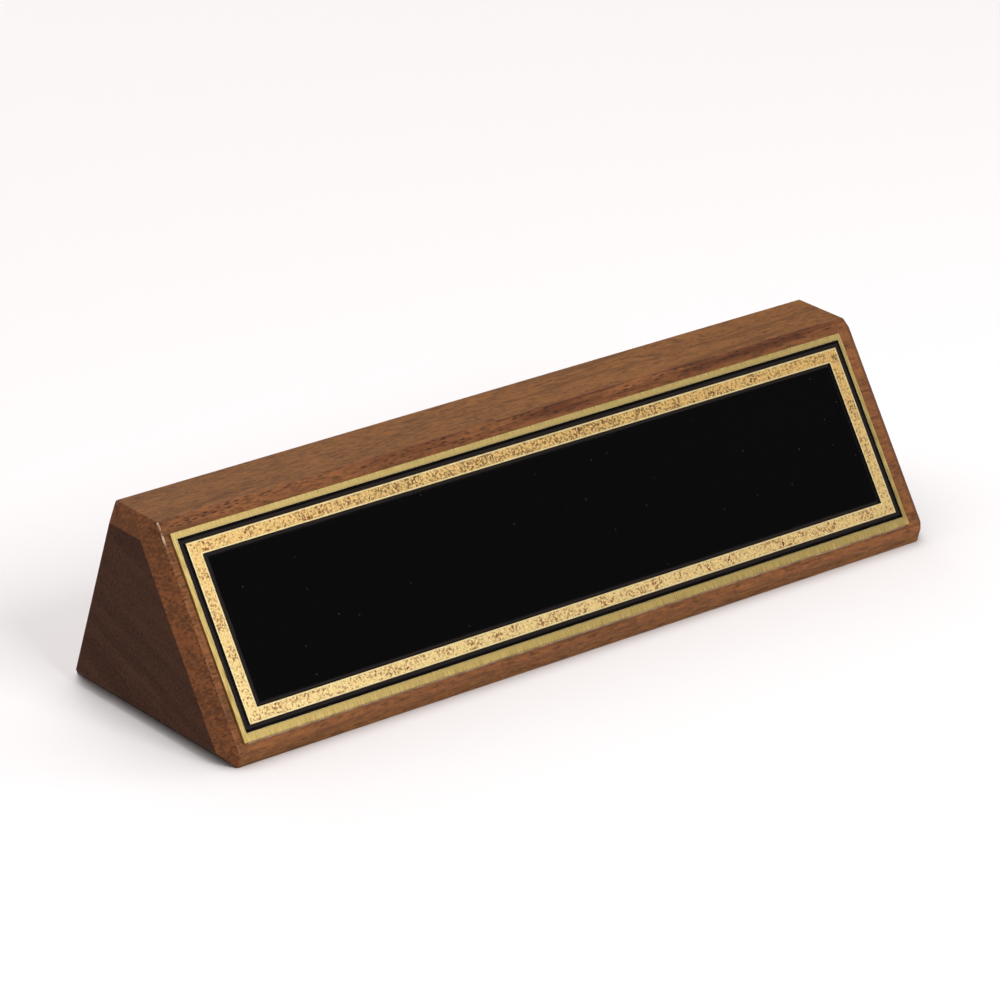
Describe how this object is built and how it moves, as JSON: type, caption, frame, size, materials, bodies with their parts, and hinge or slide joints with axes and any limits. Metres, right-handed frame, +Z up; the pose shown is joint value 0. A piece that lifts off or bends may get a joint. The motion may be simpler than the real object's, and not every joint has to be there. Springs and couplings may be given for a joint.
{
  "type": "desk name plate",
  "caption": "Solid walnut desk wedge with chamfered ends and a satin brass plate stuck to its sloping face; the plate has a patterned gold border and a bare glossy black centre.",
  "frame": {"origin": "middle of the block's underside: halfway along its length and its depth, on the desk", "axes": "+X along the block to the reader's right, +Y to the back, +Z up; the plate looks towards -Y and up"},
  "size_m": [0.216, 0.0666, 0.0508],
  "materials": {
    "walnut": "oiled satin, long open grain",
    "adhesive": "clear acrylic adhesive",
    "satin_brass": "satin, finely brushed",
    "border_ink": "printed, half matt",
    "florentine_gold": "printed mottled scroll pattern",
    "black_lacquer": "glossy black lacquer"
  },
  "bodies": {
    "root": {"walnut_block": "walnut", "plate_adhesive": "adhesive", "brass_plate": "satin_brass", "outer_border_line": "border_ink", "florentine_band": "florentine_gold", "inner_border_line": "border_ink", "black_lacquer_panel": "black_lacquer"}
  },
  "joints": []
}
